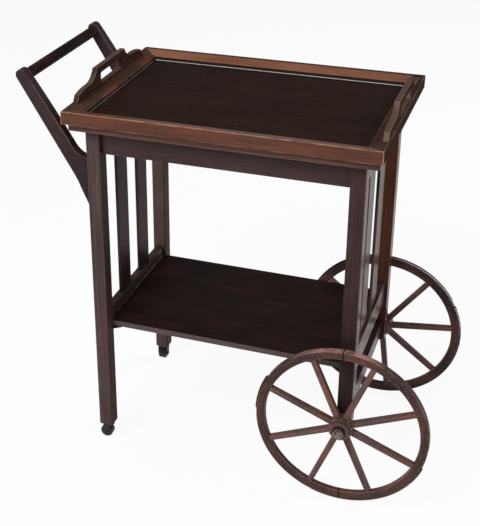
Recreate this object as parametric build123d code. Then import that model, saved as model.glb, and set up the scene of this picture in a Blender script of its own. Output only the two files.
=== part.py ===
from build123d import *
import os
from math import cos, degrees, radians, sin

# Tea trolley: a dark oak frame on two spoked wheels and two casters, with a lift-off tray.
# Millimetres, +Z up, floor at z = 0. X runs along the length, with the push handle at -X and the
# spoked wheels at +X. Y is the depth, with the front at -Y.

# Top board of the frame
board_top = 707.5
board_length = 572.0
board_depth = 384.0
board_thickness = 16.0
board_edge_round = 3.0
board_end_overhang = 25.0
board_side_overhang = 19.5

# Square legs, set in from the board's edges by its overhangs
leg_section = 28.0
leg_edge_round = 1.5
leg_foot_bevel = 2.0
leg_below_axle = 6.0

# Aprons along the length
apron_height = 51.0
apron_thickness = 14.0
apron_setback = 10.0

# Rails across the ends, upper and lower, and the slats between them
end_rail_thickness = 16.0
end_rail_setback = 6.0
lower_rail_top = 296.5
lower_rail_height = 47.0
slat_width = 49.0
slat_thickness = 6.0
slat_gap = 50.0
small_edge_round = 1.0

# Tenons and their mortises
tenon_thickness = 6.0
tenon_shoulder = 6.0
tenon_length = 15.0
tenon_wall = 1.0
slat_tenon_width = 39.0
slat_tenon_thickness = 4.0
slat_tenon_length = 9.0
joint_gap = 0.1

# Shelf, let in below the top of the lower rails, and the bevelled cleats under its ends
shelf_drop = 21.5
shelf_thickness = 12.0
shelf_setback = 24.0
shelf_edge_round = 2.0
cleat_width = 24.0
cleat_height = 12.0
cleat_nose = 3.0

# Push arms: lean is from the vertical, drops are from the top board's underside, and places along
# the arm are measured from its heel
arm_thickness = 20.0
arm_foot_low_drop = 160.0
arm_foot_high_drop = 62.0
arm_heel_out = 28.4
arm_heel_drop = 99.0
arm_heel_step = 6.0
arm_heel_fall = 11.0
arm_foot_swell = 0.5
arm_lean = 31.0
arm_reach = 210.0
arm_tip_width = 21.6
arm_swell = 1.2
arm_throat_distance = 46.0
arm_throat_width = 28.1
arm_throat_hollow = 3.6
arm_edge_round = 1.5
arm_dowel_radius = 4.0
arm_dowel_length = 28.0
arm_dowel_low_drop = 107.0
arm_dowel_high_drop = 77.0
bar_diameter = 21.0
bar_setback = 5.0
bar_tenon_diameter = 12.0
bar_tenon_length = 10.0

# Axle and the beam that it is let into
axle_diameter = 10.0
axle_beam_height = 33.0
axle_beam_thickness = 13.0
axle_beam_lift = 1.0
axle_bore_gap = 0.15
washer_diameter = 25.0
inner_washer_thickness = 1.5
outer_washer_thickness = 2.0
cap_nut_width = 18.5
cap_nut_base = 6.0
cap_nut_height = 13.0
cap_nut_wall = 3.0
cap_nut_dome_step = 1.0

# Spoked wheels: the hub's lengths run inward and outward from the middle of the spokes
rim_radius = 163.7
rim_depth = 16.5
rim_width = 12.0
rim_edge_round = 2.0
felloe_count = 2
felloe_gap = 0.2
tyre_thickness = 3.3
tyre_width = 11.0
tyre_side = 1.2
tyre_groove_width = 0.9
tyre_groove_depth = 1.0
tyre_groove_offset = 2.2
hub_inner_length = 18.0
hub_outer_length = 21.5
hub_barrel_diameter = 45.0
hub_barrel_inner = 8.5
hub_barrel_outer = 13.5
hub_nose_diameter = 38.0
hub_end_diameter = 31.0
hub_end_round = 1.5
hub_end_play = 0.3
bush_wall = 2.0
bush_running_gap = 0.08
spoke_count = 8
spoke_root_size = 11.5
spoke_tip_size = 10.5
spoke_edge_round = 1.5
spoke_tenon_diameter = 7.0
spoke_tenon_length = 9.0
front_spoke_angle = 23.5
back_spoke_angle = 7.5
# Each tyre is kept where the rubber survives, in degrees from +X towards +Z
front_tyre_start_angle = -108.6
front_tyre_end_angle = -21.2
front_scrap_start_angle = 152.3
front_scrap_end_angle = 177.5
back_tyre_start_angle = 31.3
back_tyre_end_angle = 385.4

# Casters
caster_height = 33.0
caster_roller_diameter = 26.0
caster_roller_width = 17.0
caster_roller_round = 3.0
caster_trail = 3.0
caster_cheek_thickness = 2.2
caster_cheek_width = 11.0
caster_cheek_play = 0.6
caster_plate_diameter = 24.0
caster_plate_thickness = 2.5
caster_flange_thickness = 1.5
caster_flange_gap = 0.3
caster_stem_diameter = 7.0
caster_stem_length = 30.0
caster_socket_wall = 1.6
caster_socket_depth = 34.0
caster_pin_diameter = 4.5
caster_pin_head = 7.0
caster_pin_head_height = 1.2
front_caster_turn = 0.0
back_caster_turn = 90.0
swivel_gap = 0.08

# Tray, a little larger than the board that it stands on
tray_end_overhang = 7.0
tray_side_overhang = 13.0
tray_rail_height = 25.0
tray_rail_width = 33.5
tray_rail_fall = 9.0
tray_edge_round = 1.5
rebate_width = 8.0
panel_thickness = 5.0
panel_gap = 0.5
glass_thickness = 6.0
glass_gap = 1.5
glass_bevel = 1.0
handle_thickness = 10.0
handle_setback = 2.0
handle_length = 312.0
handle_height = 38.0
handle_toe_rise = 12.0
handle_toe_run = 8.0
handle_shoulder_rise = 17.0
handle_shoulder_half = 104.0
handle_shoulder_crown = 1.5
handle_top_half = 66.0
handle_swan_hollow = 4.8
handle_edge_round = 0.8
slot_length = 99.0
slot_height = 20.4
slot_rise = 4.0
slot_corner = 4.0
handle_dowel_radius = 2.5
handle_dowel_length = 16.0
handle_dowel_half = 110.0

# Screws up through the upper end rails into the top board
screw_radius = 2.0
screw_head_radius = 4.0
screw_head_height = 2.4
screw_grip = 18.0
screw_bite = 9.0
screw_half_spacing = 105.0

# Places worked out from the sizes above
leg_half = leg_section / 2
leg_outer_x = board_length / 2 - board_end_overhang
leg_outer_y = board_depth / 2 - board_side_overhang
leg_inner_x = leg_outer_x - leg_section
leg_inner_y = leg_outer_y - leg_section
leg_x = leg_outer_x - leg_half
leg_y = leg_outer_y - leg_half
board_bottom = board_top - board_thickness
apron_bottom = board_bottom - apron_height
apron_y = leg_outer_y - apron_setback - apron_thickness / 2
rail_x = leg_outer_x - end_rail_setback - end_rail_thickness / 2
rail_inner_x = rail_x - end_rail_thickness / 2
lower_rail_bottom = lower_rail_top - lower_rail_height
slat_y = (slat_gap + slat_width) / 2
shelf_top = lower_rail_top - shelf_drop
shelf_bottom = shelf_top - shelf_thickness
shelf_front_y = leg_outer_y - shelf_setback
axle_height = rim_radius + tyre_thickness
axle_radius = axle_diameter / 2
axle_beam_bottom = axle_height + axle_beam_lift
axle_beam_top = axle_beam_bottom + axle_beam_height
wheel_y = leg_outer_y + inner_washer_thickness + hub_end_play + hub_inner_length
outer_washer_y = wheel_y + hub_outer_length + hub_end_play
cap_nut_y = outer_washer_y + outer_washer_thickness
axle_end_y = cap_nut_y + cap_nut_height - cap_nut_wall
bush_bore_radius = axle_radius + bush_running_gap
bush_radius = bush_bore_radius + bush_wall
rim_inner_radius = rim_radius - rim_depth
hub_barrel_radius = hub_barrel_diameter / 2
tray_length = board_length + 2 * tray_end_overhang
tray_depth = board_depth + 2 * tray_side_overhang
tray_top = board_top + tray_rail_height
panel_top = board_top + panel_thickness
glass_top = panel_top + glass_thickness
opening_x = tray_length / 2 - tray_rail_width
opening_y = tray_depth / 2 - tray_rail_width
handle_outer_x = tray_length / 2 - handle_setback


def block(x, y, z):
    """Box between two values on each axis."""
    size = Box(x[1] - x[0], y[1] - y[0], z[1] - z[0])
    return Pos((x[0] + x[1]) / 2, (y[0] + y[1]) / 2, (z[0] + z[1]) / 2) * size


def pin(start, end, radius):
    """Round bar from one point to another."""
    run = Vector(*end) - Vector(*start)
    section = Plane(origin=start, z_dir=run) * Circle(radius)
    return extrude(section, run.length)


def ring(start, end, radius, bore):
    """Round tube from one point to another."""
    return pin(start, end, radius) - pin(start, end, bore)


def ends(value):
    """The two places at plus and minus a value, low one first."""
    return (-value, value)


def around(centre, size):
    """The two values half a size below and above a centre."""
    return (centre - size / 2, centre + size / 2)


# Tenons, each as one bar through both legs: gap 0 is the tenon and joint_gap its mortise
def apron_tenon(side, gap):
    reach = rail_x - tenon_thickness / 2 - tenon_wall + gap
    height = (apron_bottom + tenon_shoulder - gap, board_bottom - tenon_shoulder + gap)
    return block(ends(reach), around(side * apron_y, tenon_thickness + 2 * gap), height)


def cross_tenon(x, bottom, top, gap):
    reach = leg_inner_y + tenon_length + gap
    height = (bottom + tenon_shoulder - gap, top - tenon_shoulder + gap)
    return block(around(x, tenon_thickness + 2 * gap), ends(reach), height)


def slat_tenon(end, side, gap):
    height = (lower_rail_top - slat_tenon_length - gap, apron_bottom + slat_tenon_length + gap)
    width = around(side * slat_y, slat_tenon_width + 2 * gap)
    return block(around(end * rail_x, slat_tenon_thickness + 2 * gap), width, height)


# Frame pieces: end is -1 at the casters and 1 at the wheels, side is -1 in front and 1 behind
def leg(end, side):
    x, y = end * leg_x, side * leg_y
    foot = caster_height if end < 0 else axle_height - axle_radius - leg_below_axle
    bevel_top = foot + leg_foot_bevel
    sole = leg_section - 2 * leg_foot_bevel
    shaft = Pos(x, y, bevel_top) * RectangleRounded(leg_section, leg_section, leg_edge_round)
    tread = Pos(x, y, foot) * RectangleRounded(sole, sole, leg_edge_round)
    post = extrude(shaft, board_bottom - bevel_top) + loft([tread, shaft])
    post -= apron_tenon(side, joint_gap)
    post -= cross_tenon(end * rail_x, apron_bottom, board_bottom, joint_gap)
    post -= cross_tenon(end * rail_x, lower_rail_bottom, lower_rail_top, joint_gap)
    if end > 0:
        post -= cross_tenon(leg_x, axle_beam_bottom, axle_beam_top, joint_gap)
        bore = axle_radius + axle_bore_gap
        post -= pin((x, y - leg_section, axle_height), (x, y + leg_section, axle_height), bore)
        return post
    for height in arm_dowel_heights:
        post -= arm_dowel(side, height, joint_gap)
    socket = caster_stem_diameter / 2 + swivel_gap + caster_socket_wall + joint_gap
    top = foot + caster_socket_depth + joint_gap
    return post - pin((x, y, foot), (x, y, top), socket)


def apron(side):
    face = around(side * apron_y, apron_thickness)
    plank = block(ends(leg_inner_x), face, (apron_bottom, board_bottom))
    lower_edges = plank.edges().filter_by(Axis.X).group_by(Axis.Z)[0]
    return fillet(lower_edges, small_edge_round) + apron_tenon(side, 0)


def cross_rail(end, bottom, top):
    plank = block(around(end * rail_x, end_rail_thickness), ends(leg_inner_y), (bottom, top))
    long_edges = plank.edges().filter_by(Axis.Y)
    return fillet(long_edges, small_edge_round) + cross_tenon(end * rail_x, bottom, top, 0)


def upper_rail(end):
    rail = cross_rail(end, apron_bottom, board_bottom)
    for side in (-1, 1):
        rail -= slat_tenon(end, side, joint_gap)
        rail -= board_screw(end, side, joint_gap, apron_bottom)
    return rail


def lower_rail(end):
    rail = cross_rail(end, lower_rail_bottom, lower_rail_top)
    return rail - slat_tenon(end, -1, joint_gap) - slat_tenon(end, 1, joint_gap)


def slat(end, side):
    width = around(side * slat_y, slat_width)
    strip = block(around(end * rail_x, slat_thickness), width, (lower_rail_top, apron_bottom))
    strip = fillet(strip.edges().filter_by(Axis.Z), small_edge_round)
    return strip + slat_tenon(end, side, 0)


def board_screw(end, side, gap, head_bottom):
    """Countersunk screw in its counterbore. Its bore has a gap, and runs down to head_bottom."""
    x, y = end * rail_x, side * screw_half_spacing
    head = board_bottom - screw_grip
    bore = pin((x, y, head), (x, y, board_bottom + screw_bite + gap), screw_radius + gap)
    return bore + pin((x, y, head_bottom), (x, y, head + gap), screw_head_radius + gap)


def board_screws():
    head_bottom = board_bottom - screw_grip - screw_head_height
    return [board_screw(end, side, 0, head_bottom) for end in (-1, 1) for side in (-1, 1)]


def top_board():
    board = block(ends(board_length / 2), ends(board_depth / 2), (board_bottom, board_top))
    corners = board.edges().filter_by(Axis.Z)
    board = fillet(corners, board_edge_round)
    for end in (-1, 1):
        for side in (-1, 1):
            board -= board_screw(end, side, joint_gap, apron_bottom)
    return board


def shelf():
    board = block(ends(rail_inner_x), ends(shelf_front_y), (shelf_bottom, shelf_top))
    front_and_back = board.edges().filter_by(Axis.X)
    board = fillet(front_and_back, shelf_edge_round)
    notch = leg_section + 2 * joint_gap
    for x in ends(leg_x):
        for y in ends(leg_y):
            board -= block(around(x, notch), around(y, notch), (shelf_bottom, shelf_top))
    return board


def shelf_cleat(end):
    nose_x = rail_inner_x - cleat_width
    outline = Polyline(
        (end * rail_inner_x, shelf_bottom),
        (end * nose_x, shelf_bottom),
        (end * nose_x, shelf_bottom - cleat_nose),
        (end * rail_inner_x, shelf_bottom - cleat_height),
        close=True,
    )
    return extrude(make_face(Plane.XZ * outline), leg_inner_y, both=True)


# Push handle: points of the arm's outline are X and Z, beyond the left legs' outer faces
arm_y = leg_y
arm_foot_bottom = board_bottom - arm_foot_low_drop
arm_foot_top = board_bottom - arm_foot_high_drop
arm_heel_height = board_bottom - arm_heel_drop
arm_dowel_heights = (board_bottom - arm_dowel_low_drop, board_bottom - arm_dowel_high_drop)
arm_along = Vector(-sin(radians(arm_lean)), cos(radians(arm_lean)))
arm_across = Vector(cos(radians(arm_lean)), sin(radians(arm_lean)))
arm_heel = Vector(-leg_outer_x - arm_heel_out, arm_heel_height)
arm_tip = arm_heel + arm_along * arm_reach + arm_across * (arm_tip_width / 2)
bar_centre = arm_tip - arm_along * bar_setback


def arm_outline():
    foot_low = Vector(-leg_outer_x, arm_foot_bottom)
    foot_high = Vector(-leg_outer_x, arm_foot_top)
    under_heel = arm_heel + Vector(arm_heel_step, -arm_heel_fall)
    under_foot = (foot_low + under_heel) / 2 - arm_across * arm_foot_swell
    tip_radius = arm_tip_width / 2
    tip_low, tip_high = arm_tip - arm_across * tip_radius, arm_tip + arm_across * tip_radius
    tip_end = arm_tip + arm_along * tip_radius
    throat = arm_heel + arm_along * arm_throat_distance + arm_across * arm_throat_width
    upper_middle = (tip_high + throat) / 2 + arm_across * arm_swell
    throat_middle = (throat + foot_high) / 2 - arm_across * arm_throat_hollow
    return [
        ThreePointArc(foot_low, under_foot, under_heel),
        Line(under_heel, arm_heel),
        Line(arm_heel, tip_low),
        ThreePointArc(tip_low, tip_end, tip_high),
        ThreePointArc(tip_high, upper_middle, throat),
        ThreePointArc(throat, throat_middle, foot_high),
        Line(foot_high, foot_low),
    ]


def arm_dowel(side, height, gap):
    """Dowel between an arm and its leg, half in each."""
    half = arm_dowel_length / 2 + gap
    y = side * arm_y
    left, right = (-leg_outer_x - half, y, height), (-leg_outer_x + half, y, height)
    return pin(left, right, arm_dowel_radius + gap)


def push_arm(side):
    face = make_face(Plane.XZ * Curve(children=arm_outline()))
    arm = Pos(0, side * arm_y, 0) * extrude(face, arm_thickness / 2, both=True)
    away_from_leg = [e for e in arm.edges() if e.center().X < -leg_outer_x - small_edge_round]
    flat_edges = [e for e in away_from_leg if e.bounding_box().size.Y < small_edge_round]
    arm = fillet(flat_edges, arm_edge_round)
    for height in arm_dowel_heights:
        arm -= arm_dowel(side, height, joint_gap)
    return arm - push_bar(joint_gap)


def push_bar(gap):
    x, z = bar_centre.X, bar_centre.Y
    inner = arm_y - arm_thickness / 2
    reach = inner + bar_tenon_length + gap
    bar = pin((x, -inner, z), (x, inner, z), bar_diameter / 2)
    return bar + pin((x, -reach, z), (x, reach, z), bar_tenon_diameter / 2 + gap)


def arm_dowels():
    return [arm_dowel(side, height, 0) for side in (-1, 1) for height in arm_dowel_heights]


# Axle
def axle_beam():
    height = (axle_beam_bottom, axle_beam_top)
    plank = block(around(leg_x, axle_beam_thickness), ends(leg_inner_y), height)
    plank = fillet(plank.edges().filter_by(Axis.Y).group_by(Axis.Z)[-1], small_edge_round)
    plank += cross_tenon(leg_x, axle_beam_bottom, axle_beam_top, 0)
    start, end = (leg_x, -leg_outer_y, axle_height), (leg_x, leg_outer_y, axle_height)
    return plank - pin(start, end, axle_radius + axle_bore_gap)


def axle_rod():
    return pin((leg_x, -axle_end_y, axle_height), (leg_x, axle_end_y, axle_height), axle_radius)


def axle_washers(face_y, thickness):
    bore = axle_radius + axle_bore_gap
    near, far = (leg_x, face_y, axle_height), (leg_x, face_y + thickness, axle_height)
    back = ring(near, far, washer_diameter / 2, bore)
    return [mirror(back, Plane.XZ), back]


def cap_nuts():
    """Hexagon with a turned dome, bored from the open end: radius, then height, in the outline."""
    bore = axle_radius + axle_bore_gap
    depth = cap_nut_height - cap_nut_wall
    dome_radius = cap_nut_width / 2 - cap_nut_dome_step
    dome_bottom = cap_nut_base + cap_nut_dome_step
    dome_start, dome_end = Vector(dome_radius, dome_bottom), Vector(0, cap_nut_height)
    rise = cap_nut_height - dome_bottom
    sphere = (dome_radius**2 + rise**2) / (2 * rise)
    centre = Vector(0, cap_nut_height - sphere)
    dome_middle = centre + ((dome_start + dome_end) / 2 - centre).normalized() * sphere
    outline = [
        Polyline(dome_end, (0, depth), (bore, depth), (bore, 0), (dome_radius, 0), dome_start),
        ThreePointArc(dome_start, dome_middle, dome_end),
    ]
    cap = revolve(make_face(Curve(children=outline)), Axis.Y)
    hexagon = RegularPolygon(cap_nut_width / 2, 6, major_radius=False) - Circle(bore)
    nut = Rot(-90, 0, 0) * extrude(hexagon, cap_nut_base) + cap
    back = Pos(leg_x, cap_nut_y, axle_height) * nut
    return [mirror(back, Plane.XZ), back]


# Wheel pieces, about the Y axis through the origin, with the outer face at +Y
def wheel_place(side, piece):
    outward = piece if side > 0 else mirror(piece, Plane.XZ)
    return Pos(leg_x, side * wheel_y, axle_height) * outward


def spoke_angles(first):
    return [first + n * 360 / spoke_count for n in range(spoke_count)]


def radial_pin(angle, inner, outer, radius):
    run = Vector(cos(radians(angle)), 0, sin(radians(angle)))
    return pin(tuple(run * inner), tuple(run * outer), radius)


def hub_tenon(angle, gap):
    inner = hub_barrel_radius - spoke_tenon_length - gap
    return radial_pin(angle, inner, hub_barrel_radius + gap, spoke_tenon_diameter / 2 + gap)


def rim_tenon(angle, gap):
    outer = rim_inner_radius + spoke_tenon_length + gap
    return radial_pin(angle, rim_inner_radius - gap, outer, spoke_tenon_diameter / 2 + gap)


def hub(first):
    inner, outer = -hub_inner_length, hub_outer_length
    barrel_inner, barrel_outer = -hub_barrel_inner, hub_barrel_outer
    wide, nose, tip = hub_barrel_radius, hub_nose_diameter / 2, hub_end_diameter / 2
    bulge = (nose + tip) / 2 + hub_end_round
    inner_bulge = (inner + barrel_inner) / 2 - hub_end_round
    outer_bulge = (outer + barrel_outer) / 2 + hub_end_round
    bore = bush_radius + joint_gap
    outline = [
        Line((bore, inner), (tip, inner)),
        ThreePointArc((tip, inner), (bulge, inner_bulge), (nose, barrel_inner)),
        Polyline((nose, barrel_inner), (wide, barrel_inner), (wide, barrel_outer), (nose, barrel_outer)),
        ThreePointArc((nose, barrel_outer), (bulge, outer_bulge), (tip, outer)),
        Polyline((tip, outer), (bore, outer), (bore, inner)),
    ]
    turned = revolve(make_face(Curve(children=outline)), Axis.Y)
    for angle in spoke_angles(first):
        turned -= hub_tenon(angle, joint_gap)
    return turned


def hub_bush():
    start, end = (0, -hub_inner_length, 0), (0, hub_outer_length, 0)
    return ring(start, end, bush_radius, bush_bore_radius)


def spokes(first):
    start, end = hub_barrel_radius - spoke_root_size / 2, rim_inner_radius + spoke_tip_size / 2
    root = Plane.YZ.offset(start) * RectangleRounded(spoke_root_size, spoke_root_size, spoke_edge_round)
    tip = Plane.YZ.offset(end) * RectangleRounded(spoke_tip_size, spoke_tip_size, spoke_edge_round)
    blank = loft([root, tip])
    shank = blank & ring(
        (0, -rim_width, 0), (0, rim_width, 0), rim_inner_radius - joint_gap, hub_barrel_radius + joint_gap
    )
    spoke = shank + hub_tenon(0, 0) + rim_tenon(0, 0)
    spoke += radial_pin(0, hub_barrel_radius, hub_barrel_radius + spoke_tip_size, spoke_tenon_diameter / 2)
    spoke += radial_pin(0, rim_inner_radius - spoke_tip_size, rim_inner_radius, spoke_tenon_diameter / 2)
    return [Rot(0, -angle, 0) * spoke for angle in spoke_angles(first)]


def swept_ring(profile, start, end):
    """Turn a section about the wheel's axis from one angle to another."""
    return Rot(0, -end, 0) * revolve(profile, Axis.Y, end - start)


def felloes(first):
    section = Pos((rim_inner_radius + rim_radius) / 2, 0) * Rectangle(rim_depth, rim_width)
    inner_corners = section.vertices().group_by(Axis.X)[0]
    section = fillet(inner_corners, rim_edge_round)
    share = 360 / felloe_count
    trim = degrees(felloe_gap / rim_radius) / 2
    half_pitch = 180 / spoke_count
    rim = []
    for n in range(felloe_count):
        start = first + half_pitch + n * share + 360 / spoke_count
        felloe = swept_ring(section, start + trim, start + share - trim)
        for angle in spoke_angles(first):
            felloe -= rim_tenon(angle, joint_gap)
        rim.append(felloe)
    return rim


def tyre(arcs):
    """Crowned rubber with two lengthwise grooves, in one stretch for each pair of angles."""
    inner, side, half = rim_radius + joint_gap, rim_radius + tyre_side, tyre_width / 2
    outline = [
        Polyline((side, half), (inner, half), (inner, -half), (side, -half)),
        ThreePointArc((side, -half), (rim_radius + tyre_thickness, 0), (side, half)),
    ]
    section = make_face(Curve(children=outline))
    for offset in ends(tyre_groove_offset):
        groove = Rectangle(2 * tyre_groove_depth, tyre_groove_width)
        section -= Pos(rim_radius + tyre_thickness, offset) * groove
    return [swept_ring(section, start, end) for start, end in arcs]


# Caster pieces, about the Z axis through the origin, with the roller's axle along Y
caster_axle_z = caster_roller_diameter / 2
caster_flange_z = caster_height - caster_flange_thickness
caster_plate_top = caster_flange_z - caster_flange_gap
caster_plate_bottom = caster_plate_top - caster_plate_thickness
caster_cheek_y = caster_roller_width / 2 + caster_cheek_play


def caster_place(side, turn, piece):
    return Pos(-leg_x, side * leg_y, 0) * Rot(0, 0, turn) * piece


def caster_socket():
    bore = caster_stem_diameter / 2 + swivel_gap
    base, top = (0, 0, caster_flange_z), (0, 0, caster_height + caster_socket_depth)
    sleeve = ring(base, top, bore + caster_socket_wall, bore)
    return sleeve + ring(base, (0, 0, caster_height), caster_plate_diameter / 2, bore)


def caster_fork():
    plate = pin((0, 0, caster_plate_bottom), (0, 0, caster_plate_top), caster_plate_diameter / 2)
    stem_top = caster_plate_top + caster_stem_length
    stem = pin((0, 0, caster_plate_top), (0, 0, stem_top), caster_stem_diameter / 2)
    half = caster_cheek_width / 2
    root_z = caster_plate_bottom + caster_plate_thickness / 2
    root_back = (-caster_plate_diameter / 3, root_z)
    root_front = (half, root_z)
    eye_back = (-caster_trail - half, caster_axle_z)
    eye_low = (-caster_trail, caster_axle_z - half)
    eye_front = (-caster_trail + half, caster_axle_z)
    outline = [
        Polyline(eye_front, root_front, root_back, eye_back),
        ThreePointArc(eye_back, eye_low, eye_front),
    ]
    cheek = extrude(make_face(Plane.XZ * Curve(children=outline)), -caster_cheek_thickness)
    fork = plate + stem
    fork += Pos(0, caster_cheek_y, 0) * cheek
    fork += Pos(0, -caster_cheek_y - caster_cheek_thickness, 0) * cheek
    return fork - caster_pin(joint_gap)


def caster_pin(gap):
    end = caster_cheek_y + caster_cheek_thickness
    x, z = -caster_trail, caster_axle_z
    return pin((x, -end, z), (x, end, z), caster_pin_diameter / 2 + gap)


def caster_axle_pin():
    end = caster_cheek_y + caster_cheek_thickness
    x, z = -caster_trail, caster_axle_z
    axle = caster_pin(0)
    for y, out in ((-end, -end - caster_pin_head_height), (end, end + caster_pin_head_height)):
        axle += pin((x, y, z), (x, out, z), caster_pin_head / 2)
    return axle


def caster_roller():
    half = caster_roller_width / 2
    start, end = (-caster_trail, -half, caster_axle_z), (-caster_trail, half, caster_axle_z)
    roller = pin(start, end, caster_roller_diameter / 2)
    roller = fillet(roller.edges().filter_by(GeomType.CIRCLE), caster_roller_round)
    return roller - pin(start, end, caster_pin_diameter / 2 + swivel_gap)


# Tray pieces
def tray_section():
    """Moulding section: first value inward from the outer face, second upward."""
    outline = Polyline(
        (0, board_top),
        (0, tray_top),
        (tray_rail_width, tray_top - tray_rail_fall),
        (tray_rail_width, panel_top),
        (tray_rail_width - rebate_width, panel_top),
        (tray_rail_width - rebate_width, board_top),
        close=True,
    )
    section = make_face(outline)
    arris = section.vertices().sort_by(Axis.Y)[-1]
    return fillet(arris, tray_edge_round)


def mitre_plan(length, depth):
    """Plan of a rail with its outer edge on the X axis at -depth/2 and 45 degree ends."""
    outer, inner = length / 2, length / 2 - tray_rail_width
    front, back = -depth / 2, -depth / 2 + tray_rail_width
    return make_face(Polyline((-outer, front), (outer, front), (inner, back), (-inner, back), close=True))


def tray_rail(length, depth):
    """Rail along X at -Y, cut square to its section and mitred at both ends."""
    across = Plane(origin=(-length / 2, -depth / 2, 0), x_dir=(0, 1, 0), z_dir=(1, 0, 0))
    moulding = extrude(across * tray_section(), length)
    return moulding & Pos(0, 0, board_top) * extrude(mitre_plan(length, depth), tray_rail_height)


def handle_dowel(side, y, gap):
    x = side * (handle_outer_x - handle_thickness / 2)
    half = handle_dowel_length / 2 + gap
    return pin((x, y, tray_top - half), (x, y, tray_top + half), handle_dowel_radius + gap)


def handle_dowels():
    return [handle_dowel(side, y, 0) for side in (-1, 1) for y in ends(handle_dowel_half)]


def tray_side_rail(side):
    rail = Rot(0, 0, 90 * side) * tray_rail(tray_depth, tray_length)
    for y in ends(handle_dowel_half):
        rail -= handle_dowel(side, y, joint_gap)
    return rail


def handle_half_outline():
    """Upper edge of the handle from its toe to the middle, as Y and height above the rail."""
    base = handle_length / 2
    toe = (-base + handle_toe_run, handle_toe_rise)
    shoulder = (-handle_shoulder_half, handle_shoulder_rise)
    crest = (-handle_top_half, handle_height)
    shoulder_middle = Vector((toe[0] + shoulder[0]) / 2, (toe[1] + shoulder[1]) / 2 + handle_shoulder_crown)
    swan_x = (shoulder[0] + crest[0]) / 2 + handle_swan_hollow
    swan_middle = Vector(swan_x, (shoulder[1] + crest[1]) / 2 - handle_swan_hollow)
    return [
        Line((-base, 0), toe),
        ThreePointArc(toe, shoulder_middle, shoulder),
        ThreePointArc(shoulder, swan_middle, crest),
        Line(crest, (0, handle_height)),
    ]


def tray_handle(side):
    left = Curve(children=handle_half_outline())
    right = mirror(left, Plane.YZ)
    base = Polyline((-handle_length / 2, 0), (-handle_length / 2, -tray_rail_fall),
                    (handle_length / 2, -tray_rail_fall), (handle_length / 2, 0))
    face = make_face(left.edges() + right.edges() + base.edges())
    face -= Pos(0, slot_rise + slot_height / 2) * RectangleRounded(slot_length, slot_height, slot_corner)
    upright = Plane(origin=(side * handle_outer_x, 0, tray_top), x_dir=(0, 1, 0), z_dir=(1, 0, 0))
    board = extrude(upright * face, -side * handle_thickness)
    across = board.edges().filter_by(Axis.X)
    above_rail = [e for e in board.edges() - across if e.center().Z > tray_top]
    board = fillet(above_rail, handle_edge_round)
    board -= Rot(0, 0, 90 * side) * tray_rail(tray_depth, tray_length)
    for y in ends(handle_dowel_half):
        board -= handle_dowel(side, y, joint_gap)
    return board


def tray_panel():
    x = opening_x + rebate_width - panel_gap
    y = opening_y + rebate_width - panel_gap
    return block(ends(x), ends(y), (board_top, panel_top))


def tray_glass():
    x, y = opening_x - glass_gap, opening_y - glass_gap
    pane = block(ends(x), ends(y), (panel_top, glass_top))
    return chamfer(pane.faces().sort_by(Axis.Z)[-1].edges(), glass_bevel)


# Every piece by name
nodes = {}
for end, end_name in ((-1, "left"), (1, "right")):
    for side, side_name in ((-1, "front"), (1, "back")):
        nodes[f"leg_{side_name}_{end_name}"] = leg(end, side)
        nodes[f"slat_{end_name}_{side_name}"] = slat(end, side)
    nodes[f"upper_rail_{end_name}"] = upper_rail(end)
    nodes[f"lower_rail_{end_name}"] = lower_rail(end)
    nodes[f"shelf_cleat_{end_name}"] = shelf_cleat(end)
    nodes[f"tray_rail_{end_name}"] = tray_side_rail(end)
    nodes[f"tray_handle_{end_name}"] = tray_handle(end)

front_tyre_arcs = [
    (front_tyre_start_angle, front_tyre_end_angle),
    (front_scrap_start_angle, front_scrap_end_angle),
]
back_tyre_arcs = [(back_tyre_start_angle, back_tyre_end_angle)]
wheel_styles = {
    "front": (-1, front_spoke_angle, front_tyre_arcs, front_caster_turn),
    "back": (1, back_spoke_angle, back_tyre_arcs, back_caster_turn),
}
for name, (side, first, arcs, turn) in wheel_styles.items():
    nodes[f"apron_{name}"] = apron(side)
    nodes[f"push_arm_{name}"] = push_arm(side)
    nodes[f"tray_rail_{name}"] = Rot(0, 0, 90 + 90 * side) * tray_rail(tray_length, tray_depth)
    nodes[f"{name}_wheel_hub"] = wheel_place(side, hub(first))
    nodes[f"{name}_wheel_bush"] = wheel_place(side, hub_bush())
    nodes[f"{name}_wheel_spokes"] = [wheel_place(side, s) for s in spokes(first)]
    nodes[f"{name}_wheel_felloes"] = [wheel_place(side, f) for f in felloes(first)]
    nodes[f"{name}_wheel_tyre"] = [wheel_place(side, t) for t in tyre(arcs)]
    nodes[f"{name}_caster_socket"] = caster_place(side, turn, caster_socket())
    nodes[f"{name}_caster_fork"] = caster_place(side, turn, caster_fork())
    nodes[f"{name}_caster_pin"] = caster_place(side, turn, caster_axle_pin())
    nodes[f"{name}_caster_roller"] = caster_place(side, turn, caster_roller())

nodes["top_board"] = top_board()
nodes["board_screws"] = board_screws()
nodes["shelf"] = shelf()
nodes["push_bar"] = push_bar(0)
nodes["arm_dowels"] = arm_dowels()
nodes["axle_beam"] = axle_beam()
nodes["axle_rod"] = axle_rod()
nodes["inner_washers"] = axle_washers(leg_outer_y, inner_washer_thickness)
nodes["outer_washers"] = axle_washers(outer_washer_y, outer_washer_thickness)
nodes["cap_nuts"] = cap_nuts()
nodes["handle_dowels"] = handle_dowels()
nodes["tray_panel"] = tray_panel()
nodes["tray_glass"] = tray_glass()

# The origin is on the floor, midway between the push handle's end and the wheels' rims
left_reach = nodes["push_arm_front"].bounding_box().min.X
right_reach = leg_x + axle_height
centred = Pos(-(left_reach + right_reach) / 2, 0, 0)
print(f"middle of the length from the legs' middle: {(left_reach + right_reach) / 2:.3f} mm")

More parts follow.
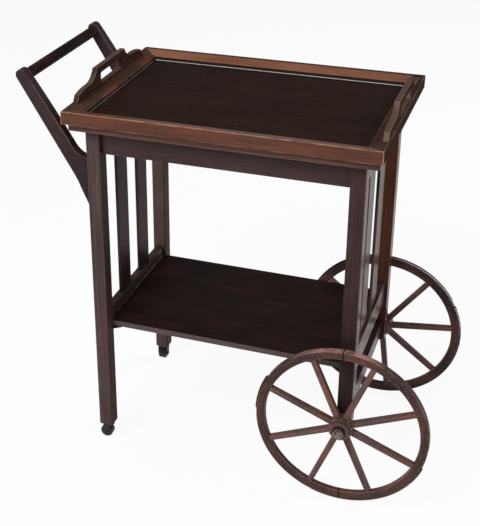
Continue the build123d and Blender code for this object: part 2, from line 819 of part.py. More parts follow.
os.makedirs("parts", exist_ok=True)
for name, shape in nodes.items():
    placed = Compound(children=[centred * s for s in shape]) if isinstance(shape, list) else centred * shape
    export_step(placed, f"parts/{name}.step")
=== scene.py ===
import math

import bmesh
import bpy
from bpy.props import FloatProperty, FloatVectorProperty, IntProperty, PointerProperty
from mathutils import Matrix, Vector


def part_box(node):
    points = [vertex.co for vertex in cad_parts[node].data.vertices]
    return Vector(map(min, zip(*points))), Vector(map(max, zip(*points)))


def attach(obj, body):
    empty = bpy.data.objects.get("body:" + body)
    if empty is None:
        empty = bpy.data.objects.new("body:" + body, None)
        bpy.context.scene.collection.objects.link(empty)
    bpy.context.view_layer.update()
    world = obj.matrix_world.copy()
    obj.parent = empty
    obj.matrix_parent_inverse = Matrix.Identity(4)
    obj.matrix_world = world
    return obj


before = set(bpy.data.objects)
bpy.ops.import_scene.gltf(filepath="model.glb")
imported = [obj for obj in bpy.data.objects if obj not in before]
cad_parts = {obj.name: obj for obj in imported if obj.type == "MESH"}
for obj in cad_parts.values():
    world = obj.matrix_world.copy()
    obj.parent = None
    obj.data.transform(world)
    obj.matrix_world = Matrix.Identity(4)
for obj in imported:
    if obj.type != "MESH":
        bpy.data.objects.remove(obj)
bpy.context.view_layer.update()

bl_info = {
    "name": "Tea Cart",
    "version": (1, 0, 0),
    "blender": (4, 5, 0),
    "location": "3D View > Sidebar > Tea Cart",
    "description": "Finishes an oak tea cart and sets it on a pale studio floor",
    "category": "Object",
}

ENDS = ("left", "right")
SIDES = ("front", "back")
WHITE = (1.0, 1.0, 1.0)
# Roughness and specular level of the oak's varnish
POLISH = {"rough": 0.2, "shine": 0.04}
MATT = {"rough": 0.5, "shine": 0.03}
DRY = {"rough": 0.7, "shine": 0.0}
# Nearly all values of a noise lie between these two
NOISE_LOW, NOISE_HIGH = 0.3, 0.7
# Shares of a painted strip and of a bare tread that are covered in full
STRIP_CORE, TREAD_CORE = 0.6, 0.4
# Metres along the plank for each radian between two spokes
PLANK_STEP = 3.0
FLOOR_SEGMENTS = 64
COVE_SEGMENTS = 6
MERGE_DISTANCE = 0.0001


def tone(red, green, blue):
    """Linear colour from display values of 0 to 255."""
    return tuple(((value / 255 + 0.055) / 1.055) ** 2.4 for value in (red, green, blue))


def colour(label, text, *display):
    return FloatVectorProperty(
        name=label, description=text, subtype="COLOR", size=3, min=0.0, max=1.0, default=tone(*display)
    )


def length(label, text, metres):
    return FloatProperty(name=label, description=text, unit="LENGTH", min=0.0, precision=5, default=metres)


def degrees(label, text, value):
    return FloatProperty(name=label, description=text, subtype="ANGLE", default=math.radians(value))


def share(label, text, value):
    return FloatProperty(name=label, description=text, subtype="FACTOR", min=0.0, max=1.0, default=value)


def power(label, text, watts):
    return FloatProperty(name=label, description=text, unit="POWER", min=0.0, default=watts)


def point(label, text, *metres):
    return FloatVectorProperty(
        name=label, description=text, subtype="TRANSLATION", unit="LENGTH", size=3, precision=4,
        default=metres,
    )


class CartColours(bpy.types.PropertyGroup):
    """Colours of the cart's finishes, of the light and shade painted on it, and of the floor."""

    frame_stain: colour("Frame stain", "Oak of the aprons, rails, slats and front wheel end leg", 61, 46, 45)
    frame_deep: colour("Frame depth", "Dark streaks in the frame's oak", 52, 39, 39)
    # Rubbed wood on the frame's edges, and painted highlight on the push arms' rounded edges
    frame_worn: colour("Frame wear", "Frame oak where its edges are rubbed", 138, 114, 108)
    # The grey stain is lighter than the rest, holding a painted sheen and painted light on the front push
    # end leg
    grey_stain: colour("Grey stain", "Faded oak of the front push end leg and the shelf's edge", 84, 72, 72)
    pink_stain: colour("Pink stain", "Faded oak of the back leg at the push end", 104, 83, 79)
    # Painted sheen on faces at the wheel end, a lighter colour in place of the varnish's reflection
    bleached: colour("Bleached", "Faces at the wheel end that years of sun have paled", 98, 75, 69)
    dark_stain: colour("Dark stain", "Darker oak of the push arms", 49, 39, 42)
    bar_stain: colour("Push bar stain", "Darkest oak, of the push bar", 31, 21, 21)
    red_stain: colour("Red stain", "Redder oak of the back leg at the wheel end", 114, 66, 46)
    undertone: colour("Undertone", "Red brown that shows where the varnish is thin", 80, 52, 47)
    tray_stain: colour("Tray stain", "Oak of the tray's front rail", 95, 63, 52)
    tray_deep: colour("Tray depth", "Dark streaks in the tray's front rail", 76, 49, 40)
    tray_red: colour("Tray red", "Orange patches on the tray's front and back rails", 107, 65, 49)
    # Rubbed wood on the front and back rails' edges, and painted highlight on the front rail's top edge
    tray_worn: colour("Tray wear", "Front and back rails where their edges are rubbed", 200, 150, 122)
    back_stain: colour("Back rail stain", "Paler oak of the tray's back rail", 132, 90, 71)
    end_stain: colour("Tray end stain", "Oak of the tray's left rail", 74, 55, 46)
    end_deep: colour("Tray end depth", "Dark streaks in the tray's left rail", 58, 44, 38)
    end_red: colour("Tray end red", "Orange patches on the tray's left rail", 108, 62, 44)
    handle_stain: colour("Handle stain", "Oak of the tray's handles and right rail", 68, 49, 43)
    handle_deep: colour("Handle depth", "Dark streaks in the tray's handles and right rail", 50, 36, 32)
    # Rubbed wood on the short rails' and handles' edges, and painted highlight on their top edges and the
    # handles' faces
    end_worn: colour("Tray end wear", "Short rails and handles where their edges are rubbed", 156, 134, 122)
    board_stain: colour("Board stain", "Oak of the top board", 104, 73, 63)
    panel_stain: colour("Panel stain", "Oak under the tray's glass", 59, 40, 33)
    panel_deep: colour("Panel depth", "Dark streaks in the tray's panel", 50, 34, 29)
    panel_red: colour("Panel red", "Red brown on the panel, the shelf and shaded leg faces", 54, 33, 28)
    shelf_stain: colour("Shelf stain", "Oak of the lower shelf and its cleats", 32, 23, 21)
    shelf_deep: colour("Shelf depth", "Dark streaks in the shelf and its cleats", 29, 21, 20)
    wheel_stain: colour("Wheel stain", "Oak of the front wheel's felloes", 64, 48, 46)
    wheel_deep: colour("Wheel depth", "Dark streaks in the front wheel's felloes", 46, 35, 33)
    back_rim_stain: colour("Back rim stain", "Darker oak of the back wheel's felloes", 46, 36, 34)
    back_rim_deep: colour("Back rim depth", "Dark streaks in the back wheel's felloes", 34, 26, 25)
    wheel_red: colour("Wheel red", "Red brown patches on the hubs and felloes", 94, 58, 51)
    # Rubbed wood on the wheels, and painted highlight on the rims' rounded edges
    wheel_worn: colour("Wheel wear", "Wheel oak where its edges are rubbed", 180, 136, 124)
    hub_stain: colour("Hub stain", "Oak of the hubs", 78, 63, 60)
    spoke_stain: colour("Spoke stain", "Oak of the spokes", 98, 80, 77)
    spoke_deep: colour("Spoke depth", "Dark streaks in the spokes", 58, 45, 43)
    spoke_red: colour("Spoke red", "Red brown patches on the spokes", 114, 70, 58)
    dust: colour("Dust", "Dust on the tray's panel and along the shelf", 150, 140, 130)
    lip: colour("Lip", "Shade inside the tray's moulding and along its back edge", 44, 33, 29)
    # Dirt in glue lines and on the outer washers, and painted shade low on the wheel end legs and the left
    # slats
    grime: colour("Grime", "Dirt in glue lines, low on legs and slats and on the outer washers", 22, 17, 16)
    rubber: colour("Rubber", "Hardened tyre rubber", 28, 26, 26)
    rubber_dust: colour("Rubber dust", "Dust in the tyre's cracks", 52, 48, 45)
    # Painted highlight along the upper right of a tyre's crown
    chalk: colour("Chalk", "Chalky line along a tyre's crown", 226, 222, 216)
    iron: colour("Iron", "Blackened iron of the casters", 34, 29, 28)
    iron_worn: colour("Iron wear", "Iron where the black is rubbed off", 96, 88, 84)
    steel: colour("Steel", "Steel of the axle, nuts, inner washers and screws", 142, 128, 122)
    steel_rust: colour("Rust", "Brown tarnish on the steel, and the outer washers", 78, 54, 46)
    brass: colour("Brass", "Dull brass of the hub bushes", 172, 140, 84)
    brass_dull: colour("Brass tarnish", "Tarnish on the brass", 96, 74, 44)
    glass_edge: colour("Glass edge", "Ground edge of the tray's glass", 206, 208, 200)
    floor: colour("Floor", "Studio floor", 236, 236, 236)


class CartSizes(bpy.types.PropertyGroup):
    """Sizes and angles of the grain, wear, dirt, painted light and shade, glue and ground edges."""

    streak_length: length("Streak length", "Length of a streak along the grain", 0.24)
    streak_width: length("Streak width", "Width of a streak across the grain", 0.0032)
    pore_length: length("Pore length", "Length of an open pore", 0.011)
    pore_width: length("Pore width", "Width of an open pore", 0.0007)
    fleck_length: length("Fleck length", "Length of a rubbed fleck on the wheels", 0.005)
    fleck_width: length("Fleck width", "Width of a rubbed fleck on the wheels", 0.0016)
    cloud_size: length("Cloud size", "Size of a patch of uneven stain", 0.09)
    grain_height: length("Grain height", "Depth of the open grain", 0.00035)
    arm_lean: degrees("Arm lean", "Slope of the push arms' grain above the level", 59.0)
    wear_width: length("Wear width", "Width of the rubbed edges", 0.0024)
    # Line of rubbed wood and painted highlight along the tray's top edge
    arris_width: length("Arris width", "Width of the rubbed line along the tray's top edge", 0.0017)
    # Reach of the painted shade in corners and under overhangs
    grime_reach: length("Grime reach", "How far grime spreads from a corner", 0.014)
    # Depth of the painted sheen and the painted shade on faces that look to the wheel end
    face_depth: length("Face depth", "How deep the tone of a bleached or shaded face goes", 0.002)
    # Reach of the painted shade up the wheel end legs from their feet
    oil_reach: length("Oil reach", "How far up the wheel end legs oil has spread", 0.3)
    # How far up the back leg at the push end its colour darkens towards the foot
    soil_reach: length("Soil reach", "How far up the back leg at the push end dirt has spread", 0.25)
    # Reach of the painted shade up the left slats from their lower ends
    slat_soil_reach: length("Slat soil reach", "How far up the left slats dirt has spread", 0.07)
    # Depth of the paler front edge of the shelf
    shelf_edge: length("Shelf edge", "Depth of the shelf's faded front edge", 0.0012)
    dust_width: length("Dust width", "Width of the dust line at the shelf's left end", 0.0016)
    speck_size: length("Speck size", "Spacing of the dust specks", 0.004)
    lip_gap: length("Lip gap", "Gap between the tray's glass and its moulding", 0.0015)
    lip_depth: length("Lip depth", "Depth of the shaded inner face of the tray's moulding", 0.0008)
    back_edge: length("Back edge", "Width of the shade along the tray's back edge", 0.008)
    back_end: length("Back end", "Length of the dark right end of the tray's back rail", 0.03)
    ground_width: length("Ground width", "Width of the glass's ground edge at the back", 0.0026)
    ground_fade: length("Ground fade", "Width over which a ground edge turns to clear glass", 0.001)
    spokes: IntProperty(name="Spokes", description="Number of spokes in a wheel", min=1, default=8)
    front_spoke: degrees("Front spoke", "Angle of the front wheel's first spoke above the level", 23.5)
    back_spoke: degrees("Back spoke", "Angle of the back wheel's first spoke above the level", 7.5)
    joint_turn: degrees("Joint turn", "Angle from a wheel's first spoke to its felloe joint", 67.5)
    joint_width: length("Joint width", "Width of the dirt on a felloe joint", 0.00448)
    joint_core: length("Joint core", "Width of the darkest line on a felloe joint", 0.00128)
    felloe_radius: length("Felloe radius", "Radius at which a rim's grain and joints are measured", 0.16)
    felloe_depth: length("Felloe depth", "Depth of a rim's felloes from outside to inside", 0.0165)
    tread_depth: length("Tread depth", "How deep the bare wood of a tread is rubbed", 0.002)
    tread_middle: degrees("Tread middle", "Middle of the front wheel's bare tread, above the level", 96.0)
    tread_half: degrees("Tread half", "Half the reach of the front wheel's bare tread", 34.0)
    glue_width: length("Glue width", "Thickness of the glue in a felloe joint", 0.0002)
    glue_inset: length("Glue inset", "How far the glue stays inside the wood", 0.001)
    glue_mottle: length("Glue mottle", "Size of the mottling in the glue", 0.002)
    crack_size: length("Crack size", "Spacing of the tyre's cracks", 0.0025)
    crack_depth: length("Crack depth", "Depth of the tyre's cracks", 0.0004)
    dust_patch: length("Dust patch", "Length of a patch of dust on a tyre", 0.03)
    dust_patch_width: length("Dust patch width", "Width of a patch of dust on a tyre", 0.01)
    # Place, width and reach of the painted highlight on a tyre's crown
    chalk_offset: length("Chalk offset", "How far the chalky line lies in front of the hub's middle", 0.0056)
    chalk_width: length("Chalk width", "Width of the chalky line on a tyre", 0.0018)
    chalk_start: length("Chalk start", "Metres right plus metres up from the axle where chalk starts", 0.16)
    chalk_full: length("Chalk full", "Metres right plus metres up from the axle where chalk is full", 0.21)
    iron_mottle: length("Iron mottle", "Size of the mottling in the iron", 0.006)
    iron_relief: length("Iron relief", "Depth of the mottling in the iron", 0.0002)
    iron_wear_width: length("Iron wear width", "Width of the iron's rubbed edges", 0.0012)
    rust_size: length("Rust size", "Size of a patch of rust", 0.005)
    rust_relief: length("Rust relief", "Height of a patch of rust", 0.00015)
    steel_grit: length("Steel grit", "Size of the roughness on the steel", 0.0008)
    brass_mottle: length("Brass mottle", "Size of a patch of tarnish on the brass", 0.004)


class CartAgeing(bpy.types.PropertyGroup):
    """How strongly wear, dirt, painted light and shade, and ground edges show."""

    # Strength of the painted sheen on faces at the wheel end
    sun: share("Sun", "Paling of faces at the wheel end", 0.6)
    shade: share("Shade", "Darkening of the push end legs' right faces", 0.6)
    # Strength of the painted shade at the wheel end legs' feet
    oil: share("Oil", "Darkening of the wheel end legs' feet", 0.45)
    # Strength of the darkening towards the foot of the back leg at the push end
    soil: share("Soil", "Darkening of the foot of the back leg at the push end", 0.5)
    # Strength of the painted shade on the left slats' lower ends
    slat_soil: share("Slat soil", "Darkening of the left slats' lower ends", 0.55)
    # Rubbed wood and painted highlight on the push arms' rounded edges
    arm_edges: share("Arm edges", "Bare wood on the push arms' edges", 0.6)
    # Strengths of the rubbed wood and painted highlight on the tray's outer edges
    arris: share("Arris", "Bare wood on the tray's outer edges where they are most rubbed", 0.6)
    arris_least: share("Arris least", "Bare wood on the tray's outer edges where they are least rubbed", 0.1)
    # Rubbed wood and painted highlight on the handles' rounded edges
    handle_edges: share("Handle edges", "Bare wood on the tray handles' edges", 0.6)
    # Painted highlight on the handles' upper faces
    handle_tops: share("Handle tops", "Bare wood on the tray handles' upper faces", 0.12)
    # Painted highlight on the right handle's front faces
    handle_toes: share("Handle toes", "Bare wood on the right handle's front faces", 0.42)
    left_grind: share("Left grind", "Paleness of the glass's ground edge on the left", 0.5)
    # Rubbed wood and painted highlight on the rims' rounded edges
    rim_edges: share("Rim edges", "Bare wood on the rims' edges", 0.3)
    tread: share("Tread", "Bare wood where the front wheel's tyre has gone", 0.65)
    tyre_dust: share("Tyre dust", "Dust on the tyres", 0.5)
    iron_edges: share("Iron edges", "Bare iron on the casters' edges", 0.5)


class CartStage(bpy.types.PropertyGroup):
    """Camera, light and floor."""

    place: point("Camera place", "Where the camera stands", 0.5704, -1.8924, 1.4370)
    yaw: degrees("Yaw", "Turn of the camera to the left of +Y", 20.835)
    pitch: degrees("Pitch", "Fall of the camera's line of sight", 25.104)
    roll: degrees("Roll", "Roll of the camera", -0.753)
    lens: FloatProperty(
        name="Lens", description="Focal length on a 36 mm side", unit="CAMERA", default=76.383
    )
    shift_x: FloatProperty(name="Shift X", description="Sideways shift of the picture", default=0.1141)
    shift_y: FloatProperty(name="Shift Y", description="Upward shift of the picture", default=-0.1198)
    key_power: power("Key light", "Power of the front lamp", 100.0)
    key_place: point("Key place", "Where the front lamp hangs", -1.0, -2.3, 2.6)
    fill_power: power("Fill light", "Power of the back lamp", 45.0)
    fill_place: point("Fill place", "Where the back lamp hangs", 1.8, 1.9, 2.0)
    lamp_size: length("Lamp size", "Side of the two soft lamps", 1.8)
    lamp_aim: point("Lamp aim", "Where the lamps point", 0.0, 0.0, 0.4)
    floor_radius: length("Floor radius", "Radius of the flat floor", 10.0)
    cove_radius: length("Cove radius", "Radius of the curve from the floor to the backdrop", 1.5)
    backdrop_height: length("Backdrop height", "Height of the backdrop round the floor", 3.0)
    low_sky: share("Low dome", "Brightness of the light dome near the floor", 0.15)
    high_sky: share("High dome", "Brightness of the light dome overhead", 0.7)
    back_sky: share("Back dome", "Light dome behind the cart, as a share of the front", 0.12)
    left_sky: share("Left dome", "Light dome on the left, as a share of the right", 0.6)
    floor_glow: share("Floor glow", "Share of plain white in what the camera sees of the floor", 0.92)


def colours():
    return bpy.context.scene.cart_colours


def sizes():
    return bpy.context.scene.cart_sizes


def ageing():
    return bpy.context.scene.cart_ageing


def middle(name):
    """Middle of a node's box, and half its size along X, Y and Z."""
    low, high = (Vector(corner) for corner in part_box(name))
    return (low + high) / 2, (high - low) / 2


def tray_box():
    """Lowest and highest corner of the tray's moulding."""
    corners = [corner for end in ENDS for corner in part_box(f"tray_rail_{end}")]
    low = Vector(min(values) for values in zip(*corners))
    high = Vector(max(values) for values in zip(*corners))
    return low, high


class Finish:
    """One material's node tree, with short calls that add nodes to it."""

    def __init__(self, name):
        self.material = bpy.data.materials.new(name)
        self.material.use_nodes = True
        self.tree = self.material.node_tree
        self.tree.nodes.clear()
        self.shader = self.tree.nodes.new("ShaderNodeBsdfPrincipled")
        self.output = self.tree.nodes.new("ShaderNodeOutputMaterial")
        self.show(self.shader.outputs["BSDF"])

    def show(self, surface):
        self.tree.links.new(surface, self.output.inputs["Surface"])

    def node(self, kind, inputs, **settings):
        added = self.tree.nodes.new("ShaderNode" + kind)
        for name, value in settings.items():
            setattr(added, name, value)
        for name, value in inputs.items():
            self.feed(added.inputs[name], value)
        return added.outputs

    def feed(self, socket, value):
        if isinstance(value, bpy.types.NodeSocket):
            self.tree.links.new(value, socket)
        elif socket.type == "RGBA":
            socket.default_value = (*value, 1.0)
        else:
            socket.default_value = value

    def surface(self, **inputs):
        """Values or links for the shader, with spaces of its socket names as underscores."""
        for name, value in inputs.items():
            self.feed(self.shader.inputs[name.replace("_", " ")], value)

    def blend(self, amount, over):
        """Lays another shader over the surface by an amount."""
        sockets = {0: amount, 1: self.shader.outputs["BSDF"], 2: over}
        self.show(self.node("MixShader", sockets)["Shader"])

    def let_lamps_through(self):
        """Makes the surface clear to the lamps, so that what lies under it is lit."""
        ray = self.node("LightPath", {})
        unseen = self.math("MAXIMUM", ray["Is Shadow Ray"], ray["Is Diffuse Ray"])
        self.blend(unseen, self.node("BsdfTransparent", {})["BSDF"])

    def place(self):
        return self.node("TexCoord", {})["Object"]

    def normal(self):
        return self.node("NewGeometry", {})["Normal"]

    def part(self, vector, axis):
        """X, Y or Z of a vector."""
        return self.node("SeparateXYZ", {"Vector": vector})[axis]

    def parts(self, vector):
        split = self.node("SeparateXYZ", {"Vector": vector})
        return split["X"], split["Y"], split["Z"]

    def joined(self, x, y, z):
        return self.node("CombineXYZ", {"X": x, "Y": y, "Z": z})["Vector"]

    def math(self, operation, first, second=0.0, third=0.0):
        return self.node("Math", {0: first, 1: second, 2: third}, operation=operation)["Value"]

    def moved(self, vector, offset=(0, 0, 0), turn=(0, 0, 0), scale=(1, 1, 1)):
        sockets = {"Vector": vector, "Location": offset, "Rotation": turn, "Scale": scale}
        return self.node("Mapping", sockets)["Vector"]

    def noise(self, vector, size, detail=3.0, roughness=0.5):
        """Noise whose features have that size along X, Y and Z of the vector."""
        stretched = self.moved(vector, scale=tuple(1 / s for s in size))
        sockets = {"Vector": stretched, "Scale": 1.0, "Detail": detail, "Roughness": roughness}
        return self.node("TexNoise", sockets)[0]

    def strands(self, along, reach, width, detail=3.0, roughness=0.5):
        """Noise drawn out along the grain."""
        return self.noise(along, (reach, width, width), detail, roughness)

    def mottle(self, size, detail=4.0, roughness=0.7):
        """Noise that is the same in all directions."""
        return self.noise(self.place(), (size, size, size), detail, roughness)

    def spread(self, value, low, high, start=0.0, end=1.0):
        """Value from low to high taken to start to end, and held beyond."""
        sockets = {"Value": value, "From Min": low, "From Max": high, "To Min": start, "To Max": end}
        return self.node("MapRange", sockets)["Result"]

    def vary(self, noise, start, end):
        """Start to end over the values that a noise takes."""
        return self.spread(noise, NOISE_LOW, NOISE_HIGH, start, end)

    def stretches(self, size, low, high, start=0.0, end=1.0):
        """Start to end in broken stretches of that size."""
        return self.spread(self.mottle(size), low, high, start, end)

    def mix(self, amount, first, second, blend_type="MIX"):
        """Second colour over the first, by the colour sockets of a Mix node."""
        return self.node("Mix", {0: amount, 6: first, 7: second}, data_type="RGBA", blend_type=blend_type)[2]

    def tint(self, base, value):
        """Base colour made lighter or darker by a value."""
        return self.mix(1.0, base, self.joined(value, value, value), "MULTIPLY")

    def worn_edges(self, width, breakup):
        """1 on rubbed edges, 0 on flats, broken up by a noise."""
        soft = self.node("Bevel", {"Radius": width}, samples=8)["Normal"]
        alike = self.node("VectorMath", {0: soft, 1: self.normal()}, operation="DOT_PRODUCT")["Value"]
        return self.math("MULTIPLY", self.spread(alike, 0.985, 0.80), self.spread(breakup, 0.38, 0.62))

    def open_air(self, reach):
        """1 in the open, less in corners and under overhangs, for the painted shade."""
        return self.node("AmbientOcclusion", {"Distance": reach}, samples=6)["AO"]

    def bump(self, height, distance, strength):
        return self.node("Bump", {"Height": height, "Distance": distance, "Strength": strength})["Normal"]


def grain_x(f):
    return f.place()


def grain_y(f):
    x, y, z = f.parts(f.place())
    return f.joined(y, x, z)


def grain_z(f):
    x, y, z = f.parts(f.place())
    return f.joined(z, y, x)


def grain_arm(f):
    """Along the push arms, which lean out from the legs."""
    return f.moved(f.place(), turn=(0, -sizes().arm_lean, 0))


def wheel_polar(f, side, first_angle):
    """Radius, angle and depth about a wheel's axle, with angle 0 at a chosen direction."""
    centre, _ = middle(f"{side}_wheel_hub")
    about = f.moved(f.place(), tuple(-centre))
    x, y, z = f.parts(f.moved(about, turn=(0, first_angle, 0)))
    radius = f.math("SQRT", f.math("ADD", f.math("MULTIPLY", x, x), f.math("MULTIPLY", z, z)))
    return radius, f.math("ARCTAN2", z, x), y


def grain_felloe(side, joint_angle):
    """Round the rim, with the break between the grain's two ends at a joint."""

    def vector(f):
        radius, angle, y = wheel_polar(f, side, joint_angle)
        return f.joined(f.math("MULTIPLY", angle, sizes().felloe_radius), radius, y)

    return vector


def grain_spoke(side, first_angle):
    """Along each spoke, with every spoke cut from another place in the plank."""

    def vector(f):
        radius, angle, y = wheel_polar(f, side, first_angle)
        half = math.pi / sizes().spokes
        within = f.math("WRAP", angle, half, -half)
        plank = f.math("MULTIPLY", f.math("SUBTRACT", angle, within), PLANK_STEP)
        along = f.math("ADD", f.math("MULTIPLY", radius, f.math("COSINE", within)), plank)
        return f.joined(along, f.math("MULTIPLY", radius, f.math("SINE", within)), y)

    return vector


def felloe_joints(side, joint_angle):
    """1 on the two joints of a rim's felloes."""

    def mask(f):
        s = sizes()
        angle = wheel_polar(f, side, joint_angle)[1]
        away = f.math("MULTIPLY", f.math("ABSOLUTE", f.math("SINE", angle)), s.felloe_radius)
        return f.spread(away, s.joint_width / 2, s.joint_core / 2)

    return mask


def bare_tread(side):
    """Bare wood on the stretch of a rim's tread whose tyre has gone."""

    def mask(f):
        s = sizes()
        edge = middle(f"{side}_wheel_felloes")[1].x
        radius, angle, _ = wheel_polar(f, side, 0.0)
        away = f.math("ABSOLUTE", f.math("SUBTRACT", angle, s.tread_middle))
        depth = f.spread(radius, edge - s.tread_depth, edge - s.tread_depth * TREAD_CORE)
        tread = f.math("MULTIPLY", depth, f.spread(away, s.tread_half, s.tread_half / 2))
        return f.math("MULTIPLY", tread, f.stretches(s.cloud_size / 4, 0.3, 0.6, 0.0, ageing().tread))

    return mask


def dust_specks(f):
    """1 on a few scattered specks."""
    return f.spread(f.mottle(sizes().speck_size, 1.0, 0.5), 0.76, 0.80)


def top_arris(f):
    """Bare wood and a painted highlight on the tray's outer top edge and upright corners, more in some
    stretches than in others.
    """
    s, age = sizes(), ageing()
    low, high = tray_box()
    centre, half = (low + high) / 2, (high - low) / 2
    x, y, z = f.parts(f.place())
    inside_x = f.math("SUBTRACT", half.x, f.math("ABSOLUTE", f.math("SUBTRACT", x, centre.x)))
    inside_y = f.math("SUBTRACT", half.y, f.math("ABSOLUTE", f.math("SUBTRACT", y, centre.y)))
    top = f.math("MAXIMUM", f.math("MINIMUM", inside_x, inside_y), f.math("SUBTRACT", high.z, z))
    corner = f.math("MINIMUM", top, f.math("MAXIMUM", inside_x, inside_y))
    line = f.spread(corner, s.arris_width, s.arris_width / 2)
    return f.math("MULTIPLY", line, f.stretches(s.cloud_size / 3, 0.35, 0.65, age.arris_least, age.arris))


def beside(axis, place, width, amount=1.0):
    """Up to that amount in a strip beside a plane across X, Y or Z, fading out by its width."""

    def mask(f):
        away = f.math("ABSOLUTE", f.math("SUBTRACT", f.part(f.place(), axis), place))
        return f.spread(away, width, width * STRIP_CORE, 0.0, amount)

    return mask


def right_face(name, amount):
    """Up to that amount on the face of a node that looks to the wheel end."""
    return beside("X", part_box(name)[1][0], sizes().face_depth, amount)


def broken(mask):
    """A mask in broken stretches."""

    def parted(f):
        return f.math("MULTIPLY", mask(f), f.stretches(sizes().cloud_size / 3, 0.38, 0.58))

    return parted


def facing(axis, way, amount):
    """Up to that amount on faces that look along X, Y or Z, with a way of 1, or against it, with -1."""

    def mask(f):
        along = f.math("MULTIPLY", f.part(f.normal(), axis), way)
        return f.spread(along, 0.55, 0.95, 0.0, amount)

    return mask


def rounded_edge(axis, amount):
    """Up to that amount on rounded edges between faces across and along X, Y or Z, in broken stretches."""

    def mask(f):
        across = f.math("ABSOLUTE", f.part(f.normal(), axis))
        edge = f.math("MULTIPLY", f.spread(across, 0.15, 0.35), f.spread(across, 0.97, 0.85))
        return f.math("MULTIPLY", edge, f.stretches(sizes().cloud_size / 2, 0.35, 0.6, 0.0, amount))

    return mask


def oak(name, grain, stain, deep, worn, red=None, patchy=0.4, flecks=0.0, wear=0.8, rough=0.34, shine=0.12,
        clean=0.6, patches=()):
    """Stained oak: long streaks, patchy stain, dark open pores, rubbed edges and painted shade in corners.

    Stain and deep are the colours of the streaks, worn that of rubbed wood and red that of the patches
    where the stain is thin. Patchy is the strength of those patches, flecks the share of worn wood in the
    grain, wear the strength of the rubbed edges and clean the brightness that the painted shade leaves in
    corners and under overhangs. Rough and shine are the varnish's roughness and specular level.
    Each patch is a mask and the colour that it lays over the rest.
    """
    c, s = colours(), sizes()
    f = Finish(name)
    along = grain(f)
    streaks = f.strands(along, s.streak_length, s.streak_width, 5.0, 0.62)
    fibres = f.strands(along, s.streak_length / 4, s.streak_width / 4, 2.0)
    clouds = f.strands(along, s.cloud_size * 2, s.cloud_size)
    thin = f.strands(along, s.cloud_size, s.cloud_size / 4, 4.0, 0.6)
    pores = f.spread(f.strands(along, s.pore_length, s.pore_width, 1.0), 0.60, 0.70)
    body = f.mix(f.spread(streaks, 0.32, 0.62), deep, stain)
    body = f.mix(f.spread(thin, 0.45, 0.65, 0.0, patchy), body, red or c.undertone)
    body = f.tint(body, f.vary(clouds, 0.84, 1.14))
    body = f.tint(body, f.vary(fibres, 0.88, 1.12))
    body = f.tint(body, f.spread(pores, 0.0, 1.0, 1.0, 0.65))
    if flecks:
        bright = f.strands(along, s.fleck_length, s.fleck_width, 2.0)
        body = f.mix(f.spread(bright, 0.55, 0.72, 0.0, flecks), body, worn)
    breakup = f.strands(along, s.cloud_size / 4, s.cloud_size / 9, 4.0, 0.65)
    edge = f.math("MULTIPLY", f.worn_edges(s.wear_width, breakup), wear)
    # Painted shade: darker in corners, creases and under overhangs, by ambient occlusion
    body = f.tint(f.mix(edge, body, worn), f.spread(f.open_air(s.grime_reach), 0.3, 0.9, clean, 1.0))
    for mask, paint in patches:
        body = f.mix(mask(f), body, paint)
    varnish = f.vary(streaks, rough + 0.07, rough - 0.05)
    height = f.math("SUBTRACT", f.math("MULTIPLY", fibres, 0.4), pores)
    f.surface(
        Base_Color=body,
        Roughness=f.math("ADD", varnish, f.math("MULTIPLY", pores, 0.2)),
        Normal=f.bump(height, s.grain_height, 0.35),
        Specular_IOR_Level=shine,
    )
    return f.material


def blackened_iron():
    """Black iron with its edges rubbed bare."""
    c, s = colours(), sizes()
    f = Finish("blackened_iron")
    mottle = f.mottle(s.iron_mottle, 4.0, 0.6)
    edge = f.math("MULTIPLY", f.worn_edges(s.iron_wear_width, mottle), ageing().iron_edges)
    f.surface(
        Base_Color=f.mix(edge, f.tint(c.iron, f.vary(mottle, 0.8, 1.25)), c.iron_worn),
        Roughness=f.vary(mottle, 0.28, 0.45),
        Normal=f.bump(mottle, s.iron_relief, 0.3),
        Specular_IOR_Level=0.25,
    )
    return f.material


def tarnished_steel(name, clean, tarnish):
    """Steel with raised patches of tarnish."""
    s = sizes()
    f = Finish(name)
    rust = f.spread(f.mottle(s.rust_size, 5.0, 0.65), 0.42, 0.62)
    grit = f.mottle(s.steel_grit, 2.0, 0.5)
    f.surface(
        Base_Color=f.mix(rust, clean, tarnish),
        Roughness=f.spread(rust, 0.0, 1.0, 0.34, 0.62),
        Normal=f.bump(f.math("ADD", rust, f.math("MULTIPLY", grit, 0.4)), s.rust_relief, 0.4),
        Metallic=0.6,
    )
    return f.material


def dull_brass():
    c = colours()
    f = Finish("dull_brass")
    tarnish = f.mottle(sizes().brass_mottle, 4.0, 0.6)
    f.surface(
        Base_Color=f.mix(f.spread(tarnish, 0.4, 0.65), c.brass, c.brass_dull),
        Roughness=f.vary(tarnish, 0.3, 0.55),
        Metallic=0.9,
    )
    return f.material


def old_glue():
    f = Finish("old_glue")
    mottle = f.mottle(sizes().glue_mottle, 3.0, 0.5)
    f.surface(
        Base_Color=f.tint(colours().grime, f.vary(mottle, 0.7, 1.3)),
        Roughness=f.vary(mottle, 0.6, 0.8),
    )
    return f.material


